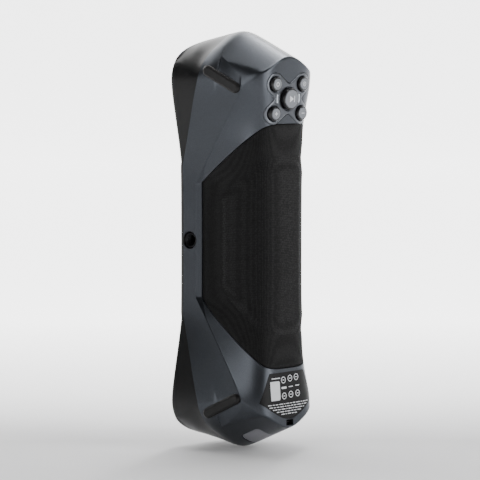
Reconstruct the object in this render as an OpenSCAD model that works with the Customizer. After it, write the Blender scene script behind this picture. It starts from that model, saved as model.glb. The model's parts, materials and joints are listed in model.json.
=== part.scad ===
// Handheld structured-light scanner: a bone-shaped body held by a grip at its waist.
// +Z runs along the body, the lenses look along -Y, and the keypad and grip face +Y.
// The origin is the middle of the whole object, buttons included.

/* [Body] */
// Length over both rounded ends
body_len = 216; // [200:1:232]
// Width of the two heads
head_w = 60; // [56:1:64]
// Width of the waist between them
waist_w = 44; // [42:1:46]
// Distance of the front face from the middle plane
front_y = 28.2; // [27:0.1:30]
// Height of the middle of the back above the middle plane, at the waist
back_y = 25; // [24:0.1:26]
// Thickness of the two shells
wall = 2.2; // [1.8:0.1:2.6]

/* [Grip] */
// Thickness of the smooth band set into the rear shell
band_t = 1.4; // [1:0.1:1.6]
// Height of the textured pad above the band
pad_t = 1.15; // [0.6:0.05:1.4]
// Width of the band that shows round the pad
band_show = 12.6; // [10:0.1:15]

/* [Keypad] */
// Height of the play button along the body
key_z = 73.7; // [71:0.1:75]
// Half the distance between the columns of small buttons
key_dx = 10.1; // [9.5:0.1:10.5]
// Half the distance between the rows of small buttons
key_dz = 7.5; // [7.2:0.1:8]
// Radius of the play button
play_r = 5.5; // [5:0.1:5.6]
// Radius of the small buttons
small_r = 3.7; // [3.4:0.1:3.8]
// Height of the play button above the middle of the keypad
key_up = 2.3; // [1.6:0.1:2.8]
// Height of the small buttons above the same level
small_up = 1.3; // [1:0.1:2.3]
// Travel of every button
key_travel = 0.8; // [0.4:0.1:1]

/* [Mounts] */
// Radius of the hole of the tripod insert
tripod_r = 3.175; // [3:0.005:3.3]
// Depth of the hole of the tripod insert
tripod_depth = 8; // [6:0.5:9]

/* [Hidden] */
$fn = 48;
sides = [1, -1];

// Body: a stack of level outlines, trimmed by two domed ends
waist_end = 40;          // half-height where the waist starts to flare
flare = 0.21;            // growth of the half-width per mm above that
corner_z = 83;           // height where the shoulder starts to round
corner_r = 18;
corner_x = head_w / 2 - corner_r;
corner_end = 15.7;       // height of the rounded stretch above corner_z
corner_end_x = sqrt(corner_r * corner_r - corner_end * corner_end);
corner_fall = corner_end / corner_end_x;
ridge_y = -3;            // depth of the ridge over each end
ridge_k = 1;
end_z = body_len / 2 + 0.93;
front_rise = 0.22;       // slope of the end in front of the ridge
rear_fall = 0.445;       // and behind it
crown_a = 8;
crown_front = 0.3;
crown_rear = 0.8;
part_front = -26.4;      // depth of the parting line at the waist
part_rear = -8.8;        // and over the ends
edge_r = 1.6;            // rounding of the front edge
top_z = 109;
slice_step = 4;
curve_steps = 10;
strip_y = -18;           // rear edge of the flat side strip at the waist
bevel = 2.1;             // width and depth of the bevel behind it
crease_a = 33;           // height where the crease leaves the strip
crease_rise = 1.43;      // rise of the crease per mm towards the back
grip_top = 41.6;         // upper edge of the grip on the middle plane
top_rise = 0.74;         // rise of that edge per mm towards the back
grip_low = 43.2;         // lower edge of the grip on the middle plane
low_fall = 0.81;         // fall of that edge per mm towards the back
grip_y = -15.5;          // front edge of the grip
gap = 0.15;              // clearance between neighbouring covers

// Smooth stand-ins for max(0, t) and min(a, b), and an S-curve from 0 to 1
function soft_up(t, k) = (t + sqrt(t * t + k * k)) / 2;
function soft_min(a, b, k) = (a + b) / 2 - sqrt((a - b) * (a - b) / 4 + k * k);
function ease(t) = let (u = min(1, max(0, t))) u * u * (3 - 2 * u);

// Half-width of the front outline at half-height a
function side_low(a) = soft_min(waist_w / 2 + flare * soft_up(a - waist_end, 8), head_w / 2 + 0.3, 0.6);
function side_top(a) = corner_x + sqrt(corner_r * corner_r - pow(a - corner_z, 2));
function side_tip(a) = corner_x + corner_end_x - corner_fall * (a - corner_z - corner_end);
function side_x(a) =
    a < corner_z ? side_low(a)
    : a < corner_z + corner_end ? side_top(a)
    : max(1, side_tip(a));

// Depth of the parting line, of the crease and of the middle of the back
function part_y(a) =
    soft_min(part_front + 0.4 * soft_up(a - waist_end + 0.5, 2), part_rear + 0.4, 0.6);
function crease_y(a) = max(strip_y, soft_min(strip_y + 2.4 + (a - crease_a) / crease_rise, 17, 1));
function back(a) = back_y + 0.07 * soft_up(a - 47, 8);

// Half-width at the parting line and at the crease, which lean inwards towards the back
function part_x(a) = side_x(a) - 0.03 * (part_y(a) + front_y);
function side_lean(a) = 0.05 + 0.14 * ease((a - 35) / 40);
function crease_x(a) = part_x(a) - side_lean(a) * (crease_y(a) - part_y(a));
function bevel_at(a) = 0.2 + (bevel - 0.2) * (1 - ease((a - 29) / 12));
function knee_x(a) =
    min(0.8 * crease_x(a), 19.4 - 2.2 * ease((a - 35) / 25) + 1.3 * ease((a - 60) / 19));

// One half of the level outline at half-height a, pulled in by w
function curve_point(c, k, b, t) =
    pow(1 - t, 3) * c + 3 * t * (1 - t) * k + pow(t, 3) * b;
function half_outline(a, w, steps, ahead) =
    let (
        x = side_x(a),
        f = [x - w, -front_y + w - ahead],
        c = [crease_x(a) - w, crease_y(a)],
        g = c + [-bevel_at(a), bevel_at(a)],
        k = [knee_x(a) - w, back(a) - w],
        b = [0, back(a) - w],
        r = max(0.2, min(edge_r, x / 2) - w / 2)
    )
    concat(
        [for (q = [0:30:90]) f + [-r + r * sin(q), r - r * cos(q)]],
        [[part_x(a) - w, part_y(a)], c],
        [for (i = [0:steps]) curve_point(g, k, b, i / steps)]
    );
function level_outline(a, w, steps, ahead) =
    let (h = half_outline(a, w, steps, ahead), n = len(h))
    concat(h, [for (i = [n - 2:-1:0]) [-h[i][0], h[i][1]]]);

// Height of the domed end over the point x, y
function ridge(y) = soft_min(front_rise * (y - ridge_y), -rear_fall * (y - ridge_y), ridge_k);
function crown(x, y) =
    let (
        t = ease((y + front_y) / 19),
        s = crown_front + (crown_rear - crown_front) * t,
        a = 2 + (crown_a - 2) * t,
        over = soft_up(x - 26.5 + 0.24 * max(0, y + 9), 0.5)
    )
    sqrt(a * a + s * s * x * x) - a + 0.45 * over * over * ease((y + 9) / 12);
function dome(x, y) = end_z + ridge(y) - crown(abs(x), y);

// Fill for a stack of equal loops, and for a sheet between two height fields
module stack(loops, heights) {
    n = len(loops[0]);
    m = len(loops);
    points = [for (j = [0:m - 1]) for (p = loops[j]) [p[0], p[1], heights[j]]];
    walls = [
        for (j = [0:m - 2], i = [0:n - 1], half = [0, 1])
            let (a = j * n + i, b = j * n + (i + 1) % n)
            half == 0 ? [a, a + n, b + n] : [a, b + n, b]
    ];
    floor = [[for (i = [0:n - 1]) i]];
    lid = [[for (i = [n - 1:-1:0]) (m - 1) * n + i]];
    polyhedron(points = points, faces = concat(walls, floor, lid), convexity = 6);
}

module between_domes(w, cell) {
    xs = [for (i = [-34 / cell:34 / cell]) i * cell];
    ys = [for (j = [0:68 / cell]) -34.1 + j * cell];
    nx = len(xs);
    ny = len(ys);
    n = nx * ny;
    top = [for (y = ys, x = xs) [x, y, dome(x, y) - w]];
    low = [for (p = top) [p[0], p[1], -p[2]]];
    cells = [for (j = [0:ny - 2], i = [0:nx - 2]) j * nx + i];
    up = [for (c = cells) each [[c, c + nx, c + nx + 1], [c, c + nx + 1, c + 1]]];
    down = [for (f = up) [f[0] + n, f[2] + n, f[1] + n]];
    rim = concat(
        [for (i = [0:nx - 1]) i],
        [for (j = [1:ny - 1]) j * nx + nx - 1],
        [for (i = [nx - 2:-1:0]) (ny - 1) * nx + i],
        [for (j = [ny - 2:-1:1]) j * nx]
    );
    m = len(rim);
    edge = [
        for (i = [0:m - 1])
            let (a = rim[i], b = rim[(i + 1) % m])
            each [[a, b, b + n], [a, b + n, a + n]]
    ];
    polyhedron(points = concat(top, low), faces = concat(up, down, edge), convexity = 6);
}

// The whole body, pulled in by w on every side, with its front moved ahead; its inside is coarser
module body(w, ahead = 0) {
    inside = w > 2;
    step = inside ? 2 * slice_step : slice_step;
    levels = [for (z = [-top_z:step:-step / 4]) z];
    heights = concat(levels, [0], [for (i = [len(levels) - 1:-1:0]) -levels[i]]);
    intersection() {
        stack([for (z = heights) level_outline(abs(z), w, inside ? 6 : curve_steps, ahead)], heights);
        between_domes(w, inside ? 6.8 : 3.4);
    }
}

// The skin of the body between depths w_out and w_in
module skin(w_out, w_in) {
    difference() {
        body(w_out);
        body(w_in);
    }
}

// Makes one closed surface of a shape that is built from many small faces
module one_surface() resize([0, 0, 0]) children();

// Extrude an outline drawn in y, z across the body, and one drawn in x, z through it
module across(w) rotate([90, 0, 90]) linear_extrude(w, center = true) children();
module through(y0, y1) translate([0, y1, 0]) rotate([90, 0, 0]) linear_extrude(y1 - y0) children();

// A round bar along +Y from depth y0, and a tube
module bar(r, y0, y1) translate([0, y0, 0]) rotate([-90, 0, 0]) cylinder(r = r, h = y1 - y0);
module tube(ro, ri, y0, y1) {
    difference() {
        bar(ro, y0, y1);
        bar(ri, y0 - 1, y1 + 1);
    }
}

// Everything in front of the parting surface moved back by d
module front_zone(d) {
    zs = [for (i = [-28:28]) i * 4];
    across(90) polygon(concat(
        [for (z = zs) [part_y(abs(z)) + d, z]],
        [[-60, 112], [-60, -112]]
    ));
}

// The grip's side view, shrunk by d
module grip_zone(d) {
    y0 = grip_y + d;
    y1 = 40;
    top = grip_top - d * sqrt(1 + top_rise * top_rise);
    low = grip_low - d * sqrt(1 + low_fall * low_fall);
    across(90) polygon([
        [y0, -low - low_fall * y0], [y1, -low - low_fall * y1],
        [y1, top + top_rise * y1], [y0, top + top_rise * y0]
    ]);
}

// Outline of the X-shaped keypad, grown by d
lobe_r = 5.6;
module keypad_outline(d) {
    offset(r = -3, $fn = 24) offset(r = 3 + d, $fn = 24) for (s = sides)
        hull() for (e = sides) translate([e * key_dx, e * s * key_dz]) circle(r = lobe_r, $fn = 24);
}

// The keypad's own frame: its middle on the back, with +Y out of the surface
key_lean = atan(0.07);
module on_keypad() translate([0, back(key_z), key_z]) rotate([-key_lean, 0, 0]) children();
small_keys = [[1, 1], [-1, 1], [1, -1], [-1, -1]];
cap_foot = -4.5;              // underside of the button caps
plunger_tip = -6.6;
switch_top = cap_foot - 1;
module at_small_key(i) {
    on_keypad() translate([small_keys[i][0] * key_dx, 0, small_keys[i][1] * key_dz]) children();
}

// Outline of the label, grown by d
label_top = 66.5;
label_low = 81.5;
label_tip = 90.6;
module label_outline(d) {
    xs = [for (i = [-8:8]) i * 19.3 / 8];
    offset(delta = d) polygon(concat(
        [for (x = xs) [x, crown(abs(x), 20) - label_tip]],
        [[12.8, -label_top], [-12.8, -label_top]]
    ));
}

// Places that several pieces share
glass_inset = 3.6;
cam_z = 80;
colour_z = 34;
laser_z = 12;
nir_z = -36;
laser_x = 7;
frame_y0 = -23;
frame_y1 = -19;
wall_in = -front_y + 3.7;     // inside of the front wall
shell_screw_x = 13;
shell_screw_z = 46;
frame_screws_at = [for (x = [-14, 14], z = [-56, 24, 56]) [x, z]];
tripod_y = -22.1;
strap_z = -92.45;
slot_w = 5.3;
slot_h = 3.1;
port_y = 11;                  // middle of the port cover on the lower end
port_half_x = 12;
port_half_y = 6;
port_tilt = atan(rear_fall);
port_z = -98.2;
board_y = -4;

module front_shell() color("#1f1f21") {
    difference() {
        one_surface() difference() {
            union() {
                difference() {
                    intersection() {
                        body(0);
                        front_zone(-0.05);
                    }
                    intersection() {
                        body(wall);
                        translate([-40, wall_in, -120]) cube([80, 60, 240]);
                    }
                }
                through(-front_y + 1, wall_in) window_outline(wall + 0.2);
            }
            through(-40, -front_y + 1.2) window_outline(glass_inset);
        }
        insert_blank(gap);
        for (s = sides) translate([0, 0, s * cam_z]) bar(19.6, -40, 0);
        translate([0, 0, colour_z]) bar(8, -40, 0);
        for (s = sides) translate([s * laser_x, 0, laser_z]) bar(5, -40, 0);
        translate([0, 0, nir_z]) bar(9, -40, 0);
    }
    for (x = sides, z = sides) translate([x * shell_screw_x, 0, z * shell_screw_z])
        tube(3.4, 1.3, wall_in, -14);
    for (p = frame_screws_at) translate([p[0], 0, p[1]]) tube(3, 1, wall_in, frame_y0);
}

// Outline of the front glass, pulled in by d from the body
module window_outline(d) {
    zs = [for (i = [-27:27]) i * 4];
    xs = [for (i = [-15:15]) i * 2];
    intersection() {
        polygon(concat(
            [for (z = zs) [side_x(abs(z)) - d, z]],
            [for (i = [len(zs) - 1:-1:0]) [d - side_x(abs(zs[i])), zs[i]]]
        ));
        polygon(concat(
            [for (x = xs) [x, dome(x, -front_y) - d]],
            [for (i = [len(xs) - 1:-1:0]) [xs[i], d - dome(xs[i], -front_y)]]
        ));
    }
}

module rear_shell() color("#54585e") {
    $fn = 24;
    one_surface() difference() {
        union() {
            difference() {
                body(0);
                body(wall, 6);
                front_zone(0.05);
                intersection() {
                    grip_zone(-gap);
                    skin(-2, band_t);
                }
                intersection() {
                    on_keypad() through(-6, 6) keypad_outline(gap);
                    skin(-1, 1.2);
                }
                intersection() {
                    through(12, 40) label_outline(0.15);
                    skin(-1, 0.55);
                }
            }
            shell_towers();
            board_posts();
            difference() {
                strap_pocket(1.6);
                intersection() {
                    through(12, 40) label_outline(0.15);
                    skin(-1, 0.55);
                }
            }
        }
        on_keypad() through(-9, 6) keypad_outline(-0.9);
        for (x = sides, z = sides) translate([x * shell_screw_x, 0, z * shell_screw_z]) {
            bar(2.9, -8, 40);
            bar(1.6, -20, 0);
        }
        for (x = sides) on_keypad() translate([x * 13.5, 0, 0]) bar(0.9, -12, -3);
        strap_pocket(0);
        strap_bar_blank(0.75);
        port_opening(0.4);
        insert_blank(gap);
        for (x = sides, z = sides) foot_blank(x, z, 0.1);
    }
}

// Tubes that carry the shell screws, cut off inside the rear skin
module shell_towers() {
    intersection() {
        body(band_t + 0.2);
        for (x = sides, z = sides) translate([x * shell_screw_x, 0, z * shell_screw_z]) bar(4.2, -13.8, 40);
    }
}

module board_posts() {
    intersection() {
        body(1.4);
        for (x = sides) on_keypad() translate([x * 13.5, 0, 0]) bar(2.1, -7.9, 3);
    }
}

// The strap slot, with walls of thickness t round it
module strap_pocket(t) {
    intersection() {
        translate([-slot_w / 2 - t, 21 - t, strap_z - slot_h / 2 - t])
            cube([slot_w + 2 * t, 12, slot_h + 2 * t]);
        body(t > 0 ? 0.2 : -3);
    }
}

// The port cover's hole in the lower end, grown by d
module port_opening(d) {
    translate([0, port_y, -end_z - ridge(port_y)]) rotate([port_tilt, 0, 0])
        translate([-port_half_x - d, -port_half_y * 1.13 - d, -5])
            cube([2 * (port_half_x + d), 2 * (port_half_y * 1.13 + d), 14]);
}

module front_window() color("#0b0c0f")
    through(-front_y + 0.1, -front_y + 1) window_outline(glass_inset + gap);

module window_gasket() color("#2a2a2c") {
    through(-front_y + 1, -front_y + 1.2) difference() {
        window_outline(glass_inset + 0.4);
        window_outline(glass_inset + 2.2);
    }
}

module grip_band() color("#151517") {
    one_surface() intersection() {
        skin(0, band_t);
        grip_zone(0);
    }
}

module grip_pad() color("#26282b") {
    one_surface() intersection() {
        skin(-pad_t, 0);
        grip_zone(band_show);
    }
}

module keypad_plate() color("#8e9398") {
    $fn = 32;
    one_surface() difference() {
        intersection() {
            skin(-0.25, 1.2);
            on_keypad() through(-6, 6) keypad_outline(0);
        }
        on_keypad() bar(play_r + 0.5, -6, 6);
        for (i = [0:3]) at_small_key(i) bar(small_r + 0.35, -6, 6);
        on_keypad() light_arcs(0.12, -6, 6);
    }
}

// Two curved slots beside the play button
module light_arcs(d, y0, y1) {
    for (s = [0, 180]) translate([0, y0, 0]) rotate([-90, 0, 0]) rotate([0, 0, s - 16])
        rotate_extrude(angle = 32) translate([7.9 - d, 0]) square([0.9 + 2 * d, y1 - y0]);
}

module light_pipes() color("#e8eef2") on_keypad() light_arcs(0, -6, 0.15);

module status_leds() color("#f4f1d8")
    for (s = sides) on_keypad() translate([s * 8.35 - 0.8, -8, -1.6]) cube([1.6, 0.8, 3.2]);

// A button's cap: a drum with a flange under the keypad and a shallow seat for its face
module key_cap(r, up) color("#101012") rotate([-90, 0, 0]) rotate_extrude() polygon([
    [0, cap_foot], [r + 0.6, cap_foot], [r + 0.6, cap_foot + 0.6], [r, cap_foot + 0.6],
    [r, up - 0.5], [r - 0.5, up], [r - 0.6, up], [r - 0.6, up - 0.7], [0, up - 0.7]
]);
module key_face(r, up) color("#b9bcc1") rotate([-90, 0, 0]) rotate_extrude() polygon([
    [0, up - 0.7], [r - 0.65, up - 0.7], [r - 0.65, up + 0.05], [r - 0.9, up + 0.25], [0, up + 0.3]
]);
module key_plunger() color("#c8642c") bar(1, plunger_tip, cap_foot);

module play_button() on_keypad() key_cap(play_r, key_up);
module play_face() on_keypad() key_face(play_r, key_up);
module play_plunger() on_keypad() key_plunger();
module small_button(i) at_small_key(i) key_cap(small_r, small_up);
module small_face(i) at_small_key(i) key_face(small_r, small_up);
module small_plunger(i) at_small_key(i) key_plunger();

module switch_housing() {
    difference() {
        translate([-3, -8, -3]) cube([6, 8 + switch_top, 6]);
        bar(1.25, plunger_tip - key_travel - 0.2, -4);
    }
}

module switch_housings() color("#3a3a3e") {
    on_keypad() switch_housing();
    for (i = [0:3]) at_small_key(i) switch_housing();
}

module button_board() color("#1d5a3a") on_keypad() difference() {
    translate([-16, -9.4, -12.5]) cube([32, 1.4, 25]);
    for (s = sides) translate([s * 13.5, 0, 0]) bar(1.1, -12, -6);
}

module screw_along_y(r, head_r, head_h, y_head, y_tip) {
    dir = y_tip > y_head ? 1 : -1;
    translate([0, y_head, 0]) rotate([-90 * dir, 0, 0]) difference() {
        union() {
            translate([0, 0, -head_h]) cylinder(r = head_r, h = head_h);
            cylinder(r = r, h = abs(y_tip - y_head));
        }
        translate([0, 0, -head_h - 1]) cylinder(r = r * 0.8, h = 1 + head_h / 2, $fn = 6);
    }
}

module button_board_screws() color("#a9abb0")
    for (s = sides) on_keypad() translate([s * 13.5, 0, 0]) screw_along_y(0.8, 1.7, 1.2, -9.4, -4.5);

module label_plate() color("#141416") {
    one_surface() intersection() {
        skin(0.05, 0.32);
        through(12, 40) label_outline(0);
    }
}

// A rubber foot on the side, beside the end's edge
foot_y = 5;
foot_len = 24;
foot_w = 5.6;
foot_tilt = 27;
foot_z = 83.6;
module foot_blank(sx, sz, d) {
    lean = side_lean(foot_z);
    x = part_x(foot_z) - lean * (foot_y - part_y(foot_z));
    translate([sx * x, foot_y, sz * foot_z]) rotate([0, 0, sx * atan(lean)])
        rotate([-sz * foot_tilt, 0, 0]) hull() {
            for (e = sides) translate([0, e * (foot_len - foot_w) / 2, 0]) rotate([0, sx * 90, 0]) {
                translate([0, 0, -1 - d / 2]) cylinder(r = foot_w / 2 + d, h = 1.3 + d / 2, $fn = 24);
                cylinder(r = foot_w / 2 - 1 + d, h = 1.2 + d, $fn = 24);
            }
        }
}
module foot(sx, sz) color("#19191b") foot_blank(sx, sz, 0);

// The tripod insert without its hole, grown by d: a round bush with a square plate inside the shells
insert_r = 3.95;
insert_x0 = 12.5;
module insert_blank(d) translate([insert_x0 - d, tripod_y, 0]) {
    rotate([0, 90, 0]) cylinder(r = insert_r + d, h = d > 0 ? 40 : waist_w / 2 - 0.2 - insert_x0);
    translate([0, -insert_r + 0.05 - d, -6 - d]) cube([2.5 + 2 * d, 2 * (insert_r - 0.05 + d), 12 + 2 * d]);
}
module tripod_insert() color("#2b2b2d") difference() {
    insert_blank(0);
    translate([waist_w / 2 - 0.2 - tripod_depth, tripod_y, 0]) rotate([0, 90, 0]) cylinder(r = tripod_r, h = 20);
}

module strap_bar_blank(r) translate([-slot_w / 2 - 1.3, 25.2, strap_z]) rotate([0, 90, 0])
    cylinder(r = r, h = slot_w + 2.6);
module strap_bar() color("#2b2b2d") strap_bar_blank(0.7);

// The light grey cover that is pressed in over the data port
module port_cover() color("#8b8b91") one_surface() intersection() {
    skin(0.05, 1.7);
    port_opening(0);
}

// The bracket that carries the data port
module port_bracket() color("#2b2b2e") difference() {
    translate([-13, port_y - 6, port_z + 6]) cube([26, 8.5, 1.6]);
    translate([-4.8, port_y - 1.9, port_z]) cube([9.6, 3.8, 20]);
    for (s = sides) translate([s * 10, port_y - 2, port_z]) cylinder(r = 1, h = 20);
}

module data_port() color("#c9cbd0") translate([0, port_y, port_z]) difference() {
    translate([-4.7, -1.8, 0]) cube([9.4, 3.6, 9]);
    translate([-4.2, -1.3, -1]) cube([8.4, 2.6, 8]);
}

module port_board() color("#1d5a3a") translate([-10, port_y - 3.4, port_z + 7.7]) difference() {
    cube([20, 1.5, 16]);
    for (x = [3, 17]) translate([x, -1, 13]) rotate([-90, 0, 0]) cylinder(r = 1, h = 4);
}

module optical_frame() color("#b9bcc0") difference() {
    union() {
        translate([-17.5, frame_y0, -92]) cube([35, frame_y1 - frame_y0, 184]);
        for (s = sides) translate([0, 0, s * cam_z]) bar(12, frame_y0, frame_y1 + 5);
        translate([0, 0, colour_z]) bar(9.5, frame_y0, frame_y1 + 4);
    }
    for (s = sides) translate([0, 0, s * cam_z]) bar(8.6, -30, 0);
    translate([0, 0, colour_z]) bar(6.6, -30, 0);
    for (s = sides) translate([s * laser_x, 0, laser_z]) bar(5.1, -30, 0);
    translate([-8.2, -30, nir_z - 7.2]) cube([16.4, 20, 14.4]);
    for (p = frame_screws_at) translate([p[0], 0, p[1]]) bar(1.2, -30, 0);
    for (x = sides, z = sides) translate([x * shell_screw_x, 0, z * shell_screw_z]) bar(4, -30, 0);
    translate([12, -30, -6.5]) cube([10, 20, 13]);
}

module lens_barrel(r, y0, y1) color("#17171a") difference() {
    union() {
        bar(r, y0, y1);
        bar(r - 1, y0 - 1.2, y1);
    }
    bar(r - 3.2, y0 - 4, y1 - 2);
    bar(r - 2.2, y0 - 4, y0 + 1.6);
}

module lens_glass(r, y0) color("#27324a") translate([0, y0, 0]) rotate([-90, 0, 0]) rotate_extrude() polygon(concat(
    [[0, 1.6], [r, 1.6]],
    [for (i = [10:-1:0]) [r * i / 10, 1.1 * pow(i / 10, 2)]]
));

module camera_barrel(s) translate([0, 0, s * cam_z]) lens_barrel(8.5, -24.4, -12);
module camera_lens(s) translate([0, 0, s * cam_z]) lens_glass(6.25, -24.4);
module camera_board(s) color("#1d5a3a") translate([-12, -12, s * cam_z - 12]) cube([24, 1.6, 24]);

module led_ring(s) translate([0, 0, s * cam_z]) {
    color("#1d5a3a") tube(18.5, 9.6, -24.4, -23.3);
    color("#f4f1d8") for (q = [0:30:330]) rotate([0, q, 0]) translate([12.6, -24.9, -1]) cube([2.6, 0.6, 2]);
}
module ring_diffuser(s) color("#d9dde2") translate([0, 0, s * cam_z]) tube(19, 10, -26.6, -25.2);

module colour_barrel() translate([0, 0, colour_z]) lens_barrel(6.5, -25, -12);
module colour_lens() translate([0, 0, colour_z]) lens_glass(4.25, -25);
module colour_board() color("#1d5a3a") translate([-10, -12, colour_z - 9]) cube([20, 1.6, 18]);

module laser_modules() color("#a08a54")
    for (s = sides) translate([s * laser_x, 0, laser_z]) tube(4.95, 2.6, -25, -10);
module laser_lenses() color("#2d3f78")
    for (s = sides) translate([s * laser_x, 0, laser_z]) bar(2.6, -24.6, -22.6);

module nir_projector() color("#17171a") difference() {
    union() {
        translate([-8, -23, nir_z - 7]) cube([16, 13, 14]);
        translate([0, 0, nir_z]) bar(6.5, -25.6, -23);
    }
    translate([0, 0, nir_z]) bar(5, -27, -20);
}
module nir_lens() color("#4a2a3a") translate([0, 0, nir_z]) lens_glass(5, -24.8);

standoffs_at = [for (x = [-14, 14], z = [-33, 33]) [x, z]];
module board_standoffs() color("#b08d45") for (p = standoffs_at) translate([p[0], 0, p[1]])
    difference() {
        translate([0, frame_y1, 0]) rotate([-90, 0, 0]) cylinder(r = 2.6, h = board_y - frame_y1, $fn = 6);
        bar(1.2, -9, 0);
    }

module main_board() color("#1d5a3a") difference() {
    translate([-16, board_y, -38]) cube([32, 1.6, 76]);
    for (p = standoffs_at) translate([p[0], 0, p[1]]) bar(1.35, -8, 0);
}
module processor() color("#2c2c30") translate([-11.5, board_y + 1.6, -11.5]) cube([23, 2.2, 23]);
module thermal_pad() color("#c9a7b0") translate([-11.5, board_y + 3.8, -11.5]) cube([23, 0.6, 23]);
module heat_sink() color("#9a9da2") translate([-14, board_y + 4.4, -20]) {
    cube([28, 2, 40]);
    for (i = [0:7]) translate([i * 3.75, 2, 0]) cube([1.75, 8, 40]);
}

module board_screws() color("#a9abb0") {
    for (p = standoffs_at) translate([p[0], 0, p[1]]) screw_along_y(1.2, 2.2, 1.5, board_y + 1.6, -8.8);
}
module frame_screws() color("#a9abb0") {
    for (p = frame_screws_at) translate([p[0], 0, p[1]]) screw_along_y(1, 2, 1.4, frame_y1, frame_y0 - 1);
}
module internal_screws() {
    board_screws();
    frame_screws();
}
module shell_screws() color("#a9abb0") {
    for (x = sides, z = sides) translate([x * shell_screw_x, 0, z * shell_screw_z])
        screw_along_y(1.3, 2.6, 1.8, -8, -19);
}

// Moves a piece so that the middle of the whole object is the origin
module centred() translate([0, -0.97, 0]) children();

centred() front_shell();
centred() rear_shell();
centred() front_window();
centred() window_gasket();
centred() grip_band();
centred() grip_pad();
centred() keypad_plate();
centred() play_button();
centred() play_face();
centred() play_plunger();
centred() small_button(0);  // upper_left_button
centred() small_face(0);  // upper_left_face
centred() small_plunger(0);  // upper_left_plunger
centred() small_button(1);  // upper_right_button
centred() small_face(1);  // upper_right_face
centred() small_plunger(1);  // upper_right_plunger
centred() small_button(2);  // lower_left_button
centred() small_face(2);  // lower_left_face
centred() small_plunger(2);  // lower_left_plunger
centred() small_button(3);  // lower_right_button
centred() small_face(3);  // lower_right_face
centred() small_plunger(3);  // lower_right_plunger
centred() switch_housings();
centred() button_board();
centred() button_board_screws();
centred() light_pipes();
centred() status_leds();
centred() label_plate();
centred() foot(1, 1);  // upper_left_foot
centred() foot(-1, 1);  // upper_right_foot
centred() foot(1, -1);  // lower_left_foot
centred() foot(-1, -1);  // lower_right_foot
centred() tripod_insert();
centred() strap_bar();
centred() port_cover();
centred() port_bracket();
centred() data_port();
centred() port_board();
centred() optical_frame();
centred() camera_barrel(1);  // upper_camera_barrel
centred() camera_barrel(-1);  // lower_camera_barrel
centred() camera_lens(1);  // upper_camera_lens
centred() camera_lens(-1);  // lower_camera_lens
centred() for (s = sides) camera_board(s);  // camera_boards
centred() for (s = sides) led_ring(s);  // led_rings
centred() for (s = sides) ring_diffuser(s);  // ring_diffusers
centred() colour_barrel();  // colour_camera_barrel
centred() colour_lens();  // colour_camera_lens
centred() colour_board();  // colour_camera_board
centred() laser_modules();
centred() laser_lenses();
centred() nir_projector();
centred() nir_lens();  // nir_projector_lens
centred() board_standoffs();
centred() main_board();
centred() processor();
centred() thermal_pad();
centred() heat_sink();
centred() internal_screws();
centred() shell_screws();
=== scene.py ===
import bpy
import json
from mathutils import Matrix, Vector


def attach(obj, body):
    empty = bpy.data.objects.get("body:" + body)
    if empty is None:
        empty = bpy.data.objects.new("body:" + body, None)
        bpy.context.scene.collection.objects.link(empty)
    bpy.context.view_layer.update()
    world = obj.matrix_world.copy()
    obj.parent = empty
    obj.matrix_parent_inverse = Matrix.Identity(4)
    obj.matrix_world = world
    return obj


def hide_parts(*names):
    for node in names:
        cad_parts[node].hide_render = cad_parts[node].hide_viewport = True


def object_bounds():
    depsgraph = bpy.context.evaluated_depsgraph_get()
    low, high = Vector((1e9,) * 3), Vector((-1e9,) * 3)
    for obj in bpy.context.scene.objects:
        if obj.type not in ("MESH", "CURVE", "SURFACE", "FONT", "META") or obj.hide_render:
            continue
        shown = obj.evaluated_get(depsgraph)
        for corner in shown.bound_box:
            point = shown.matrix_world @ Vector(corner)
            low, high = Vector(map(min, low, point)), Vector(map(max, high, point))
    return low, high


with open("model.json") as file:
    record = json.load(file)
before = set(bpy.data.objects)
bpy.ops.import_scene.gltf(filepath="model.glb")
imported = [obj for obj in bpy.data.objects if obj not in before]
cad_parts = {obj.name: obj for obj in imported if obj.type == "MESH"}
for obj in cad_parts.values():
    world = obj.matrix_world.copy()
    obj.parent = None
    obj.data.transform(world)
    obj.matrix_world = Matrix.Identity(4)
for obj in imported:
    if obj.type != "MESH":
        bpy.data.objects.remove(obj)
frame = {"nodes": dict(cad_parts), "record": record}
cad_box = [list(corner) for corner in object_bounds()]

import bpy
import bmesh
import json
import math
import numpy as np
from mathutils import Matrix, Vector
from mathutils.geometry import delaunay_2d_cdt

MM = 0.001
MID_Y = -0.97                 # the body's own middle plane, in the row frame, in mm

# ---------------------------------------------------------------- body shape, in mm
# The same shape as the CAD body: level outlines trimmed by two domed ends.
BODY_LEN, HEAD_W, WAIST_W = 216.0, 60.0, 44.0
FRONT_Y, BACK_Y = 28.2, 25.0
WAIST_END, FLARE = 40.0, 0.21
CORNER_Z, CORNER_R, CORNER_END = 83.0, 18.0, 15.7
CORNER_X = HEAD_W / 2 - CORNER_R
CORNER_END_X = math.sqrt(CORNER_R ** 2 - CORNER_END ** 2)
RIDGE_Y, END_Z, FRONT_RISE, REAR_FALL = -3.0, BODY_LEN / 2 + 0.93, 0.22, 0.445
PART_FRONT, PART_REAR = -26.4, -8.8
EDGE_R = 1.6
STRIP_Y, BEVEL = -18.0, 2.1
CREASE_A, CREASE_RISE = 33.0, 1.43
GRIP_TOP, TOP_RISE, GRIP_LOW, LOW_FALL = 41.6, 0.74, 43.2, 0.81
BAND_SHOW, PAD_T = 12.6, 1.15
KEY_Z, KEY_DX, KEY_DZ, LOBE_R = 73.7, 10.1, 7.5, 5.6
PLAY_R, SMALL_R, KEY_UP, SMALL_UP, CAP_FOOT = 5.5, 3.7, 2.3, 1.3, -4.5
# Stations round one half of the outline
EDGE, FRONT, PART, CREASE, STRIP = 0.0, 1.0, 2.0, 3.0, 4.0


def soft_up(t, k):
    return (t + np.sqrt(t * t + k * k)) / 2


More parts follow.
